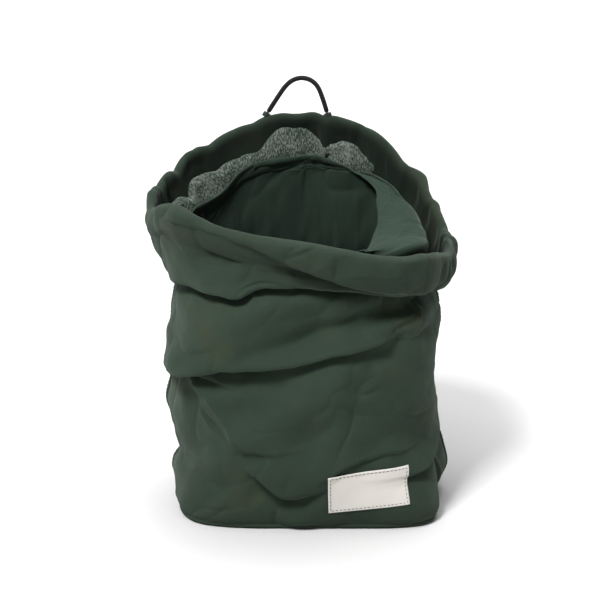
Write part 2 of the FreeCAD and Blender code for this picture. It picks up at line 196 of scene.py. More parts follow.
# Each fold: its line as (round, height, strength), how far the cloth stands out above it and over what
# width, the same below it, how wide the turn between them is, how far the cloth above hangs down over
# the line, and how sharp the two sides are (1 is a cusp and 2 a soft roll).
FOLDS = (
    # the casing rolls over the cloth below it
    (((-84, 258, 0.1), (-65, 255, 0.5), (-46, 249, 0.8), (-27, 241, 1.0), (-10, 234, 1.1), (12, 225, 1.2),
      (32, 216, 1.1), (65, 208, 0.7), (105, 200, 0.2)), 3.4, 13, -6.0, 12, 3.2, 6.4, 1.35),
    # the whole mouth sags over the body
    (((-190, 200, 0.2), (-155, 200, 0.6), (-121, 201, 0.7), (-98, 205, 0.6), (-81, 204, 0.8), (-54, 201, 1.1),
      (-42, 206, 1.0), (-25, 209, 0.95), (-6, 209, 0.9), (21, 207, 1.0), (47, 204, 1.0), (79, 199, 1.0),
      (110, 196, 1.1), (135, 197, 1.1), (155, 198, 1.0), (185, 202, 0.6), (215, 214, 0.2)),
     5.6, 20, -7.0, 9, 4.0, 5.6, 1.4),
    # pucker above that fold
    (((-58, 204, 0.0), (-49, 211, 0.9), (-33, 216, 1.0), (-19, 215, 0.8), (-3, 213, 0.6), (18, 210, 0.0)),
     -1.6, 5, -3.2, 4, 1.4, 1.6, 1.1),
    (((-52, 210, 0.4), (-45, 204, 1.0), (-43, 196, 0.8), (-46, 184, 0.0)), 2.4, 3, 1.2, 8, 1.4, 0.0, 1.1),
    # broad valley from the right side down to the left
    (((128, 187, 0.4), (107, 189, 1.0), (82, 189, 1.0), (59, 186, 1.0), (31, 178, 1.0), (8, 168, 0.9),
      (-16, 159, 0.7), (-44, 151, 0.2)), -7.4, 12, -7.4, 9, 2.5, 0.0, 1.9),
    (((114, 187, 0.5), (101, 185, 1.0), (78, 183, 1.0), (64, 180, 0.8), (44, 172, 0.0)),
     2.8, 7, -1.6, 6, 2.0, 1.8, 1.2),
    # the belly's fold across the middle
    (((-168, 112, 0.2), (-146, 118, 0.6), (-126, 124, 0.9), (-112, 128, 1.0), (-93, 131, 1.0), (-71, 137, 1.0),
      (-51, 141, 0.8), (-27, 144, 0.3), (-10, 146, 0.0)), 6.0, 24, -5.6, 13, 3.2, 4.2, 1.4),
    (((-66, 138, 0.0), (-46, 141, 0.6), (-27, 144, 1.0), (-5, 146, 1.0), (21, 151, 1.0), (37, 154, 0.9),
      (47, 157, 0.8), (61, 162, 0.6), (82, 171, 0.0)), 4.4, 9, -4.4, 13, 2.6, 3.8, 1.5),
    (((-108, 128, 0.2), (-96, 129, 1.0), (-82, 127, 1.0), (-66, 124, 0.5), (-50, 122, 0.0)),
     1.2, 5, -3.2, 5, 1.6, 1.4, 1.2),
    # cloth stands out between the sag and the valley
    (((-66, 180, 0.0), (-38, 191, 0.9), (-8, 197, 1.0), (22, 198, 0.9), (52, 199, 0.5), (80, 197, 0.0)),
     4.2, 8, 4.2, 13, 1.0, 0.0, 1.5),
    (((120, 196, 0.6), (98, 197, 1.0), (72, 201, 0.0)), -1.6, 3, -1.4, 4, 1.0, 0.0, 1.1),
    (((118, 188, 0.4), (104, 178, 1.0), (96, 164, 0.7), (94, 150, 0.0)), -2.2, 4, -2.0, 5, 1.0, 0.0, 1.2),
    (((110, 186, 0.4), (90, 177, 1.0), (70, 170, 0.7), (50, 166, 0.0)), 1.6, 4, -1.8, 4, 1.2, 0.6, 1.1),
    # creases that run down from it
    (((-120, 130, 0.2), (-106, 126, 0.9), (-93, 120, 1.0), (-79, 111, 1.0), (-70, 98, 1.0), (-62, 85, 1.0),
      (-53, 77, 1.0), (-41, 72, 0.8), (-19, 70, 0.5), (6, 72, 0.0)), 4.8, 19, 3.2, 6, 1.8, 0.0, 1.25),
    (((-90, 104, 0.0), (-84, 94, 0.8), (-75, 85, 1.0), (-60, 76, 0.0)), -2.0, 5, 1.4, 4, 1.4, 0.0, 1.1),
    # notch low on the left side
    (((-190, 46, 0.2), (-155, 44, 1.0), (-135, 46, 0.9), (-116, 52, 0.5), (-96, 57, 0.3), (-76, 57, 0.0)),
     -6.0, 12, -6.4, 10, 2.5, 1.6, 1.5),
    # ridge down from the right side of the mouth
    (((90, 132, 0.0), (93, 152, 0.8), (95, 170, 1.0), (99, 184, 1.0), (106, 192, 0.4)), 2.2, 5, 2.0, 9, 1.0, 0.0, 1.1),
    # the belly's edge low on the right
    (((34, 42, 0.0), (72, 44, 0.4), (97, 48, 0.9), (118, 55, 1.0), (136, 66, 1.0), (144, 82, 1.0), (136, 104, 0.7),
      (124, 128, 0.3), (120, 150, 0.0)), 3.6, 17, -4.4, 14, 3.0, 1.6, 1.4),
    (((6, 42, 0.0), (20, 50, 0.8), (31, 57, 1.0), (59, 64, 0.9), (76, 67, 0.6), (100, 70, 0.0)),
     3.2, 12, 0.6, 5, 2.0, 0.0, 1.2),
    (((-48, 56, 0.0), (-38, 44, 0.8), (-30, 35, 1.0), (-20, 28, 1.0), (-1, 31, 0.8), (22, 43, 0.0)),
     3.2, 13, -2.4, 9, 2.6, 1.2, 1.4),
    # small creases at the two lower corners
    (((152, 4, 0.6), (140, 14, 1.0), (132, 30, 1.0), (128, 48, 0.0)), -2.6, 6, 1.6, 10, 1.6, 0.0, 1.2),
    (((-150, 3, 0.6), (-132, 8, 1.0), (-112, 9, 0.8), (-90, 5, 0.0)), 1.2, 8, -1.8, 6, 1.4, 0.8, 1.2),
    # long soft folds on the back
    (((180, 150, 0.0), (215, 158, 0.9), (250, 150, 1.0), (290, 156, 0.8), (330, 148, 0.0)),
     3.2, 20, -3.4, 13, 3.0, 2.6, 1.3),
    (((430, 205, 0.2), (400, 212, 1.0), (360, 222, 0.9), (318, 226, 0.6), (270, 222, 0.9), (225, 210, 0.3)),
     -3.6, 13, 3.0, 16, 3.0, 0.0, 1.5),
    (((440, 96, 0.0), (405, 88, 1.0), (370, 74, 1.0), (340, 70, 0.6), (300, 74, 0.0)),
     -2.2, 9, 2.6, 13, 2.0, 0.0, 1.2),
    (((250, 116, 0.0), (280, 108, 1.0), (310, 112, 1.0), (345, 124, 0.8), (380, 130, 0.0)),
     2.4, 14, -2.6, 10, 2.2, 1.6, 1.3),
)

# Places where the contents push the cloth out or leave it slack: (round, height, half width, half height, out)
BULGES = (
    (-72, 170, 38, 20, 3.6), (-18, 108, 40, 20, 3.6), (74, 114, 30, 22, 4.2), (-66, 60, 30, 15, 2.4),
    (22, 130, 26, 13, 2.2), (-62, 236, 26, 12, -3.0), (-118, 224, 30, 20, 4.0), (-154, 220, 30, 22, 7.0),
    (-140, 160, 26, 30, 2.5), (150, 112, 28, 40, -4.5), (122, 222, 34, 16, -3.0), (60, 16, 40, 10, 1.8),
    (-40, 14, 36, 10, 1.6), (250, 190, 46, 30, 2.6), (330, 110, 60, 34, 3.4), (390, 170, 40, 36, 2.6),
    (270, 60, 44, 26, 2.4), (-160, 30, 30, 30, 4.5), (-160, 92, 30, 26, 4.5), (200, 70, 34, 34, 2.0),
    (46, 90, 26, 18, 2.8), (-12, 52, 24, 12, 2.2), (108, 88, 22, 18, 2.8), (4, 184, 20, 12, -1.8),
    (150, 28, 26, 24, 6.0), (0, 8, 130, 16, 2.0), (150, 172, 20, 16, 1.5), (-40, 184, 22, 12, 2.0),
)

# Gathers that the cord leaves in the casing: (round, half width, how far the pleats stand out)
GATHERS = ((-150, 40, 2.0), (-200, 40, 1.9), (-85, 26, 0.6), (180, 60, 2.6), (130, 24, 1.6), (245, 50, 1.6),
           (-260, 50, 1.2), (305, 60, 0.8))
# Sharp nips in the rim: (round, depth, half width)
NIPS = ((-207, 7.0, 5.5), (-181, 5.0, 4.5), (-163, 3.5, 5.0), (176, 1.8, 5.0), (203, 2.0, 5.0), (232, 2.2, 6.0),
        (-238, 2.5, 6.0), (262, 1.6, 6.0), (-272, 1.8, 7.0), (293, 1.8, 4.0))
# Stretches where the rim stands higher or hangs lower: (round, half width, how much)
SWELLS = ((-98, 20, 9.5), (-152, 15, 9.0), (62, 58, -10.0), (-176, 10, 3.0), (-222, 12, 2.5), (214, 14, 1.5),
          (250, 26, 6.5), (-262, 20, -3.0))


def rim(place):
    """Height of the rim's upper edge, with the small waves and nips that the cord makes."""
    at = centred(place)
    height = round_rim(RIM, angle_at(place)) + 0.8 * ripple(place, 17.0, 5) + 0.4 * ripple(place, 8.0, 6)
    for centre, half, more in SWELLS:
        height = height + more * np.exp(-(centred(at - centre) / half) ** 2)
    for centre, depth, half in NIPS:
        height = height - depth * np.exp(-(np.abs(centred(at - centre)) / half) ** 1.4)
    return height


def gathers(place):
    """How far the casing's pleats stand out."""
    at = centred(place)
    size = sum(height * np.exp(-(centred(at - centre) / half) ** 2) for centre, half, height in GATHERS)
    pleats = 0.9 * ripple(place, 8.0, 11) + 0.4 * ripple(place, 4.6, 12)
    nips = sum(-1.1 * depth * np.exp(-(np.abs(centred(at - centre)) / half) ** 1.4) for centre, depth, half in NIPS)
    return size * pleats + nips


def relief(place, height, fine=1.0):
    """(how far the cloth stands out from the plain wall, how far it hangs down)."""
    x, z = np.broadcast_arrays(centred(place), np.asarray(height, float))
    out, drop = np.zeros(x.shape), np.zeros(x.shape)
    wobble = 2.0 * crumple(x, z, 30.0, 29) + 0.8 * crumple(x, z, 11.0, 30)
    for line, above, above_width, below, below_width, turn, hang, sharp in FOLDS:
        curve = smooth_line(line)
        if curve[:, 0].max() > GIRTH / 2:
            curve[:, 0] -= GIRTH / 2
            gap, strength = distance_to(curve, centred(np.asarray(x) - GIRTH / 2), z)
        else:
            gap, strength = distance_to(curve, x, z)
        gap = gap + wobble
        side = smooth((gap + turn) / (2 * turn))
        roll = 2.0 * turn if hang else 0.0            # a fold that hangs is round along its lower edge
        upper = np.where(gap > roll, np.exp(-(np.abs(gap - roll) / above_width) ** sharp),
                         1.0 - 0.7 * ((roll - gap) / (roll + turn)) ** 2)
        out += FOLD_DEPTH * strength * ((1 - side) * below * np.exp(-(np.abs(gap) / below_width) ** sharp)
                                        + side * above * np.clip(upper, 0.0, 1.0))
        drop += strength * side * hang * np.exp(-np.maximum(gap, 0.0) / max(above_width * 0.5, 1.0))
    for centre, level, half_width, half_height, height_out in BULGES:
        away = (centred(x - centre) / half_width) ** 2 + ((z - level) / half_height) ** 2
        out += height_out * np.exp(-away)
    lean = 34.0 * np.sin(2 * math.pi * x / GIRTH)
    along, slant = x + 9.0 * crumple(x, z, 60.0, 25), z - lean + 6.0 * crumple(x, z, 33.0, 26) + 60.0
    # the label holds the cloth flat
    calm = 1.0 - 0.6 * np.exp(-((x - 52.0) / 50.0) ** 4 - ((z - 30.0) / 36.0) ** 4)
    out += calm * (3.6 * crumple(along, slant, 46.0, 21, 0.8) + 2.0 * crumple(along, slant, 22.0, 22, 0.8))
    for cell, deep, seed in ((52.0, 2.6, 27), (27.0, 1.6, 28)):     # creases where the cloth was pressed
        out -= calm * deep * np.exp(-np.abs(crumple(along, slant, cell, seed, 0.7)) / 0.16) * \
            (0.5 + 0.5 * crumple(x, z, 40.0, seed + 10))
    out += fine * (0.35 * crumple(along, slant, 9.0, 23) + 0.07 * crumple(x, z, 3.0, 24))
    top = rim(place)
    out += gathers(place) * smooth((z - top + 62.0) / 40.0)
    foot = smooth(z / 9.0)
    return out * foot, drop * foot


def hollow(place, height):
    """How far the outer cloth draws in behind the plain wall, about a height."""
    drawn_in = [-relief(place, height + up, 0.0)[0] for up in (-3.0, 0.0, 3.0, 6.0)]
    return np.maximum.reduce([0.0 * (place + height)] + drawn_in)


def outer(place, height, lift=0.0, fine=1.0):
    """A place on the outer cloth's face, or lift above it."""
    out, drop = relief(place, height, fine)
    point = wall(place, height, -out - lift)
    point[..., 2] -= drop
    return point


# The casing's section from its lower edge up the outside, over the cord and down the inside:
# (height above the lower edge, inset from the wall's outer face)
CASING_SECTION = ((0.0, 0.0), (2.5, -0.4), (6.0, -1.6), (11.0, -2.6), (16.0, -3.2), (20.5, -3.4), (24.0, -2.4),
                  (26.0, 0.6), (25.0, 3.8), (21.5, 5.4), (17.0, 5.4), (12.0, 4.6), (7.0, 3.8), (3.0, 3.2), (0.4, 2.9))


# Stretches where the hem inside the casing is pulled up or down: (round, half width, how much)
HEMS = ((-301, 19, 12.0), (274, 9, 5.0), (222, 40, -15.0), (292, 6, -8.0), (-266, 18, -5.0), (-215, 40, 2.0))


def casing_rows(place, count):
    """Rows of points round the casing, from its outer lower edge to the hem inside."""
    section = smooth_line(CASING_SECTION, 8)
    lengths = running_length(section)
    at = np.linspace(0.0, lengths[-1], count + 1)[1:]
    rows, runs = [], []
    top, low = rim(place), rim(place) - CASING
    pleats = gathers(place)
    hem = 1.3 * ripple(place, 26.0, 14) + sum(more * np.exp(-(centred(place - centre) / half) ** 4)
                                              for centre, half, more in HEMS)
    for run in at:
        up = float(np.interp(run, lengths, section[:, 0]))
        inset = float(np.interp(run, lengths, section[:, 1]))
        inside = float(smooth((run / lengths[-1] - 0.42) / 0.16))
        height = low + up
        out, drop = relief(place, height)
        slack = 1.6 * crumple(place, np.full_like(top, 50.0 + run), 24.0, 31, 0.7) \
            + 0.8 * crumple(place, np.full_like(top, 50.0 + run), 9.0, 32, 1.6)
        inner = pleats * 0.9 + slack * smooth((26.0 - up) / 20.0) * 0.8
        stand = (1 - inside) * out + inside * inner
        stand = np.clip(stand, -0.9, 9.0 * (1 - inside) + 1.2 * inside)      # the cord has room
        below = max(1.0 - up / CASING, 0.0)
        point = wall(place, height + inside * hem * below ** 1.5,
                     inset - stand + 0.25 * inside * np.maximum(-hem, 0.0) * below)
        point[..., 2] -= drop * (1 - inside)
        rows.append(point)
        runs.append(run)
    return rows, runs


# ---- Meshes --------
def mesh(name, points, faces, material, cloth_map=None):
    """A piece from points in millimetres. cloth_map gives each point its place on the flat cloth."""
    data = bpy.data.meshes.new(name)
    data.from_pydata((np.asarray(points) * MM).tolist(), [], [tuple(f) for f in faces])
    data.validate()
    if cloth_map is not None:
        layer = data.uv_layers.new(name="cloth")
        corners = np.empty(len(data.loops), np.int32)
        data.loops.foreach_get("vertex_index", corners)
        layer.uv.foreach_set("vector", (np.asarray(cloth_map)[corners] * MM).astype(np.float32).ravel())
    data.shade_smooth()
    data.materials.append(material)
    piece = bpy.data.objects.new(name, data)
    bpy.context.scene.collection.objects.link(piece)
    return piece


def grid_faces(rows, columns, first=0, closed=False):
    """Faces of a grid of points, whose columns may run round and meet."""
    r = np.arange(rows - 1)[:, None]
    c = np.arange(columns if closed else columns - 1)[None, :]
    after = (c + 1) % columns
    quads = np.stack([r * columns + c, r * columns + after, (r + 1) * columns + after, (r + 1) * columns + c], -1)
    return quads.reshape(-1, 4) + first


def end_caps(rows, sides, first=0):
    """Faces that close the two ends of a tube."""
    return [[first + n for n in range(sides)][::-1], [first + (rows - 1) * sides + n for n in range(sides)]]


def outward(grid, closed):
    """Unit normals of a grid whose rows go up and whose columns go round to the right."""
    if closed:
        round_way = np.roll(grid, -1, 1) - np.roll(grid, 1, 1)
    else:
        round_way = np.gradient(grid, axis=1)
    up = np.gradient(grid, axis=0)
    normal = np.cross(round_way, up)
    return normal / np.maximum(np.linalg.norm(normal, axis=-1, keepdims=True), 1e-9)


def sheet(name, grid, thickness, material, cloth_map, closed=False):
    """Cloth of even thickness: grid is its outer face, and the inner one lies behind it."""
    grid = np.asarray(grid)
    rows, columns = grid.shape[:2]
    count = rows * columns
    back = grid - outward(grid, closed) * thickness
    faces = [grid_faces(rows, columns, 0, closed), grid_faces(rows, columns, count, closed)[:, ::-1]]
    turn = np.arange(columns if closed else columns - 1)
    after = (turn + 1) % columns
    top = (rows - 1) * columns
    faces.append(np.stack([turn, turn + count, after + count, after], -1))
    faces.append(np.stack([top + turn, top + after, top + after + count, top + turn + count], -1))
    if not closed:
        down = np.arange(rows - 1) * columns
        faces.append(np.stack([down, down + columns, down + columns + count, down + count], -1))
        right = down + columns - 1
        faces.append(np.stack([right, right + count, right + columns + count, right + columns], -1))
    points = np.concatenate([grid.reshape(-1, 3), back.reshape(-1, 3)])
    flat = np.asarray(cloth_map).reshape(-1, 2)
    return mesh(name, points, np.concatenate(faces).tolist(), material, np.concatenate([flat, flat]))


def flat_map(places, runs):
    return np.stack(np.broadcast_arrays(np.asarray(places)[None, :], np.asarray(runs)[:, None]), -1)


def tube(name, points, radius, material, sides):
    """Round tube along points in millimetres, with domed ends."""
    points = np.asarray(points, float)
    way = np.gradient(points, axis=0)
    way /= np.linalg.norm(way, axis=1, keepdims=True)
    across = np.cross(way[0], (0.3, 0.9, 0.2))
    across /= np.linalg.norm(across)
    runs = running_length(points)
    turns = np.linspace(0, 2 * math.pi, sides, endpoint=False)
    rings, cloth_map = [], []

    def ring(centre, a, b, size, run):
        rings.append(centre + size * (np.cos(turns)[:, None] * a + np.sin(turns)[:, None] * b))
        cloth_map.append(np.stack([turns * radius, np.full(sides, run)], -1))

    for k, (p, w) in enumerate(zip(points, way)):
        across = across - w * (across @ w)
        across /= np.linalg.norm(across)
        other = np.cross(w, across)
        if k == 0:
            for t in np.radians((80, 55, 28)):
                ring(p - w * radius * math.sin(t), across, other, radius * math.cos(t), -radius * t)
        ring(p, across, other, radius, runs[k])
        if k == len(points) - 1:
            for t in np.radians((28, 55, 80)):
                ring(p + w * radius * math.sin(t), across, other, radius * math.cos(t), runs[k] + radius * t)
    grid = np.array(rings)
    rows = len(rings)
    faces = grid_faces(rows, sides, 0, True).tolist() + end_caps(rows, sides)
    return mesh(name, grid.reshape(-1, 3), faces, material, np.array(cloth_map).reshape(-1, 2))


def stitches(name, path, lifts, length, gap, radius, material):
    """Row of thread stitches along a path. lifts are the unit directions out of the cloth."""
    path, lifts = np.asarray(path, float), np.asarray(lifts, float)
    runs = running_length(path)
    count = max(1, int(runs[-1] // (length + gap)))
    pitch = runs[-1] / count
    points, faces = [], []
    sides, rows = 6, 5
    turns = np.linspace(0, 2 * math.pi, sides, endpoint=False)
    for k in range(count):
        at = k * pitch + (pitch - length) / 2 + np.linspace(0, length, rows)
        middle = np.stack([np.interp(at, runs, path[:, c]) for c in range(3)], -1)
        out = np.stack([np.interp(at, runs, lifts[:, c]) for c in range(3)], -1)
        out /= np.linalg.norm(out, axis=1, keepdims=True)
        rise = np.sin(np.linspace(0, math.pi, rows))
        middle = middle + out * (rise * radius * 0.9)[:, None]
        way = np.gradient(middle, axis=0)
        way /= np.linalg.norm(way, axis=1, keepdims=True)
        other = np.cross(way, out)
        first = len(points)
        for m, o, q, h in zip(middle, out, other, rise):
            size = radius * (0.45 + 0.55 * h)
            points += list(m + size * (np.cos(turns)[:, None] * o + np.sin(turns)[:, None] * q))
        faces += grid_faces(rows, sides, first, True).tolist() + end_caps(rows, sides, first)
    return mesh(name, points, faces, material)


# ---- Materials --------
def new_group(name, numbers, output):
    """An empty shader node group. Its inputs are Vector and the numbers, a dict of names and values."""
    group = bpy.data.node_groups.new(name, "ShaderNodeTree")
    group.interface.new_socket("Vector", in_out="INPUT", socket_type="NodeSocketVector")
    for socket, value in numbers.items():
        group.interface.new_socket(socket, in_out="INPUT", socket_type="NodeSocketFloat").default_value = value
    group.interface.new_socket(output, in_out="OUTPUT", socket_type="NodeSocketFloat")
    return group, group.nodes.new("NodeGroupInput"), group.nodes.new("NodeGroupOutput")


class Wiring:
    """Places nodes in a tree and joins them."""

    def __init__(self, tree):
        self.tree = tree

    def give(self, place, value):
        """Joins an input to another node's output, or sets it to a plain value."""
        if isinstance(value, bpy.types.NodeSocket):
            self.tree.links.new(value, place)
        elif value is not None:
            place.default_value = value

    def node(self, kind, inputs=(), **settings):
        made = self.tree.nodes.new("ShaderNode" + kind)
        for key, value in settings.items():
            setattr(made, key, value)
        for key, value in dict(inputs).items():
            self.give(made.inputs[key], value)
        return made

    def sum(self, operation, a, b=None, c=None):
        return self.node("Math", {0: a, 1: b, 2: c}, operation=operation).outputs[0]

    def noise(self, vector, scale, detail=2.0, roughness=0.5, stretch=None):
        if stretch is not None:
            vector = self.node("Mapping", {"Vector": vector, "Scale": stretch}).outputs[0]
        return self.node("TexNoise", {"Vector": vector, "Scale": scale, "Detail": detail,
                                      "Roughness": roughness}).outputs["Fac"]

    def mix(self, share, a, b):
        return self.node("Mix", {0: share, 6: a, 7: b}, data_type="RGBA").outputs[2]

    def band(self, value, low, high):
        """0 below low, 1 above high, and a smooth step between."""
        return self.node("MapRange", {"Value": value, "From Min": low, "From Max": high},
                         interpolation_type="SMOOTHSTEP").outputs[0]


def weave_group():
    """Over-and-under threads. It puts out the threads' height."""
    group, start, end = new_group("weave", {"Thread Width": 0.0005, "Unevenness": 0.3}, "Height")
    w = Wiring(group)
    wander = w.noise(start.outputs["Vector"], 900.0, 1.0)
    parts = w.node("SeparateXYZ", {"Vector": start.outputs["Vector"]})
    threads = []
    for axis in ("X", "Y"):
        at = w.sum("DIVIDE", parts.outputs[axis], start.outputs["Thread Width"])
        threads.append(w.sum("MULTIPLY_ADD", wander, start.outputs["Unevenness"], at))
    rounds = [w.sum("ABSOLUTE", w.sum("SINE", w.sum("MULTIPLY", t, math.pi))) for t in threads]
    cells = w.sum("ADD", w.sum("FLOOR", threads[0]), w.sum("FLOOR", threads[1]))
    over = w.sum("FLOORED_MODULO", cells, 2.0)
    height = w.sum("ADD", w.sum("MULTIPLY", rounds[0], over),
                   w.sum("MULTIPLY", rounds[1], w.sum("SUBTRACT", 1.0, over)))
    group.links.new(height, end.inputs["Height"])
    return group


def slub_group():
    """Thick and thin stretches of yarn, long across the cloth and up it."""
    group, start, end = new_group("slubs", {"Size": 300.0}, "Amount")
    w = Wiring(group)
    across = w.noise(start.outputs["Vector"], start.outputs["Size"], 2.0, 0.6, (1.0, 7.0, 1.0))
    up = w.noise(start.outputs["Vector"], start.outputs["Size"], 2.0, 0.6, (7.0, 1.0, 1.0))
    group.links.new(w.sum("MULTIPLY", w.sum("ADD", across, up), 0.5), end.inputs["Amount"])
    return group


def fade_group():
    """Uneven dye over a hand's breadth. It puts out a shade about 1."""
    group, start, end = new_group("dye", {"Depth": 0.2}, "Shade")
    w = Wiring(group)
    broad = w.noise(start.outputs["Vector"], 14.0, 3.0, 0.55)
    close = w.noise(start.outputs["Vector"], 90.0, 3.0, 0.6)
    both = w.sum("SUBTRACT", w.sum("MULTIPLY_ADD", close, 0.5, broad), 0.75)
    group.links.new(w.sum("MULTIPLY_ADD", both, start.outputs["Depth"], 1.0), end.inputs["Shade"])
    return group


WEAVE, SLUBS, DYE = weave_group(), slub_group(), fade_group()


def placed(w, group, **inputs):
    made = w.tree.nodes.new("ShaderNodeGroup")
    made.node_tree = group
    for key, value in inputs.items():
        w.give(made.inputs[key.replace("_", " ")], value)
    return made.outputs


def dress(w, shader, colour, height=None, strength=0.0, distance=0.0):
    """Gives a surface its colour, and relief no deeper than distance."""
    w.give(shader.inputs["Base Color"], colour)
    if height is not None:
        raised = w.node("Bump", {"Height": height, "Strength": strength, "Distance": distance})
        w.give(shader.inputs["Normal"], raised.outputs[0])


def finish_of(name, roughness, sheen=0.0, sheen_colour=(1, 1, 1, 1)):
    """(material, wiring, its Principled node)."""
    material = bpy.data.materials.new(name)
    material.use_nodes = True
    shader = material.node_tree.nodes["Principled BSDF"]
    shader.inputs["Roughness"].default_value = roughness
    shader.inputs["Specular IOR Level"].default_value = 0.25
    if sheen:
        shader.inputs["Sheen Weight"].default_value = sheen
        shader.inputs["Sheen Roughness"].default_value = 0.45
        shader.inputs["Sheen Tint"].default_value = sheen_colour
    return material, Wiring(material.node_tree), shader


def cotton(name, dark, light, thread, depth, bump, sheen=0.12, slub=0.3, painted_shade_from=None):
    """Plain woven cotton, between two colours. Given a height up the cut in metres, it paints shade: a sixth darker
    from a little below the casing upwards, and beyond that height, on the casing's inner face, a deeper painted shade."""
    material, w, shader = finish_of(name, 0.9, sheen, (0.75, 0.85, 0.78, 1))
    at = w.node("UVMap", uv_map="cloth").outputs[0]
    woven = placed(w, WEAVE, Vector=at, Thread_Width=thread)
    slubs = placed(w, SLUBS, Vector=at, Size=260.0)
    dye = placed(w, DYE, Vector=at, Depth=depth)
    share = w.sum("MULTIPLY_ADD", w.sum("SUBTRACT", slubs["Amount"], 0.5), slub * 2.0, 0.5)
    colour = w.mix(share, dark, light)
    shade = w.sum("MULTIPLY", dye["Shade"], w.sum("MULTIPLY_ADD", woven["Height"], 0.25, 0.86))
    olive = w.band(w.noise(at, 17.0, 2.0, 0.5), 0.52, 0.72)
    colour = w.mix(w.sum("MULTIPLY", olive, 0.4 if painted_shade_from else 0.0), colour, (0.052, 0.058, 0.030, 1))
    if painted_shade_from:
        height_up = w.node("SeparateXYZ", {"Vector": at}).outputs["Y"]
        # painted shade: beyond this height up the cut, on the casing's inner face, the colour is darkened to 40 per
        # cent
        inside = w.band(height_up, painted_shade_from - 0.004, painted_shade_from + 0.008)
        shade = w.sum("MULTIPLY", shade, w.sum("MULTIPLY_ADD", inside, -0.6, 1.0))
        # painted shade: from a little below the casing's lower edge upwards, the colour is darkened by 17 per cent
        painted_casing_shade = w.band(height_up, painted_shade_from - 0.055, painted_shade_from - 0.025)
        shade = w.sum("MULTIPLY", shade, w.sum("MULTIPLY_ADD", painted_casing_shade, -0.17, 1.0))
    colour = w.node("VectorMath", {0: colour, "Scale": shade}, operation="SCALE").outputs[0]
    dress(w, shader, colour, w.sum("MULTIPLY_ADD", slubs["Amount"], 0.8, woven["Height"]), bump, thread * 0.5)
    return material


def marl(name):
    """Speckled lining: pale flecks of yarn in dark green."""
    material, w, shader = finish_of(name, 0.95, 0.15, (0.8, 0.85, 0.8, 1))
    at = w.node("UVMap", uv_map="cloth").outputs[0]
    woven = placed(w, WEAVE, Vector=at, Thread_Width=0.0007)
    flecks = w.noise(at, 900.0, 3.0, 0.7, (1.0, 0.6, 1.0))
    broad = w.noise(at, 60.0, 2.0)
    pale = w.band(w.sum("MULTIPLY_ADD", broad, 0.25, flecks), 0.54, 0.74)
    colour = w.mix(pale, (0.026, 0.040, 0.028, 1), (0.16, 0.18, 0.165, 1))
    dress(w, shader, colour, w.sum("ADD", woven["Height"], flecks), 0.5, 0.0003)
    return material


def braid(name):
    """Black cord of two sets of strands that cross."""
    material, w, shader = finish_of(name, 0.7, 0.2)
    parts = w.node("SeparateXYZ", {"Vector": w.node("UVMap", uv_map="cloth").outputs[0]})
    around = w.sum("DIVIDE", parts.outputs["X"], 2 * math.pi * CORD_RADIUS * MM / 6.0)
    along = w.sum("DIVIDE", parts.outputs["Y"], 0.0024)
    strands = [w.sum("ABSOLUTE", w.sum("SINE", w.sum("MULTIPLY", w.sum(way, around, along), math.pi)))
               for way in ("ADD", "SUBTRACT")]
    height = w.sum("MULTIPLY", *(w.sum("POWER", strand, 0.6) for strand in strands))
    dress(w, shader, w.mix(height, (0.003, 0.003, 0.003, 1), (0.016, 0.017, 0.016, 1)), height, 0.9, 0.0004)
    return material


def thread(name, colour):
    material, w, shader = finish_of(name, 0.75, 0.1)
    at = w.node("TexCoord").outputs["Object"]
    dress(w, shader, w.mix(w.noise(at, 2500.0, 1.0), tuple(0.7 * c for c in colour[:3]) + (1,), colour))
    return material


# the outer cloth carries painted shade on its casing, and deeper painted shade on the casing's inner face beyond 0.241
# m up the cut
OUTER = cotton("outer cotton", (0.0235, 0.038, 0.026, 1), (0.043, 0.064, 0.046, 1), 0.00045, 0.35, 0.5,
               painted_shade_from=0.241)
INNER = cotton("inner sack cotton", (0.019, 0.033, 0.024, 1), (0.034, 0.053, 0.040, 1), 0.00035, 0.2, 0.35)
MARL = marl("marl lining")
BRAID = braid("black braid")
TAPE = cotton("woven label tape", (0.54, 0.515, 0.48, 1), (0.68, 0.655, 0.62, 1), 0.0003, 0.06, 0.4, 0.1, 0.2)
GREEN_THREAD = thread("green thread", (0.020, 0.032, 0.022, 1))
DARK_THREAD = thread("dark thread", (0.03, 0.032, 0.03, 1))

# ---- Outer cloth --------
WALL_ROWS, CASING_ROWS = 190, 64


def bend_with_lip(piece):
    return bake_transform(piece)


def outer_cloth(name, start, end, columns):
    """Wall and casing in one sheet, between two places on the outline."""
    places = np.linspace(start, end, columns)
    low = rim(places) - CASING
    rows, runs = [], []
    for share in np.linspace(0.0, 1.0, WALL_ROWS):
        rows.append(outer(places, FLOOR_GAP + (low - FLOOR_GAP) * share))
        runs.append(WALL_RUN * share)
    around, lengths = casing_rows(places, CASING_ROWS)
    rows += around
    runs += [WALL_RUN + run for run in lengths]
    return sheet(name, np.array(rows), CLOTH, OUTER, flat_map(places, runs))


front_cloth = outer_cloth("front_cloth", -SIDE, SIDE, 300)
bend_with_lip(front_cloth)
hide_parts("front_panel", "lip_panel", "lip_casing", "casing_corners")
back_cloth = outer_cloth("back_cloth", SIDE, 3 * SIDE, 260)
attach(back_cloth, "bag")
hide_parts("back_panel", "back_casing")


def base_disc(name, height, inset, material, thickness):
    """Flat cloth inside the outline."""
    places = np.linspace(0.0, GIRTH, 240, endpoint=False)
    edge = wall(places, np.zeros_like(places), inset)
    edge[:, 2] = 0.0
    rows = []
    for share in np.linspace(1.0, 0.04, 26):
        ring = edge * share
        ring[:, 2] = height + 0.25 * crumple(ring[:, 0] + 400.0, ring[:, 1] + 200.0, 14.0, 41)
        rows.append(ring)
    return sheet(name, np.array(rows), thickness, material, np.array(rows)[..., :2], closed=True)


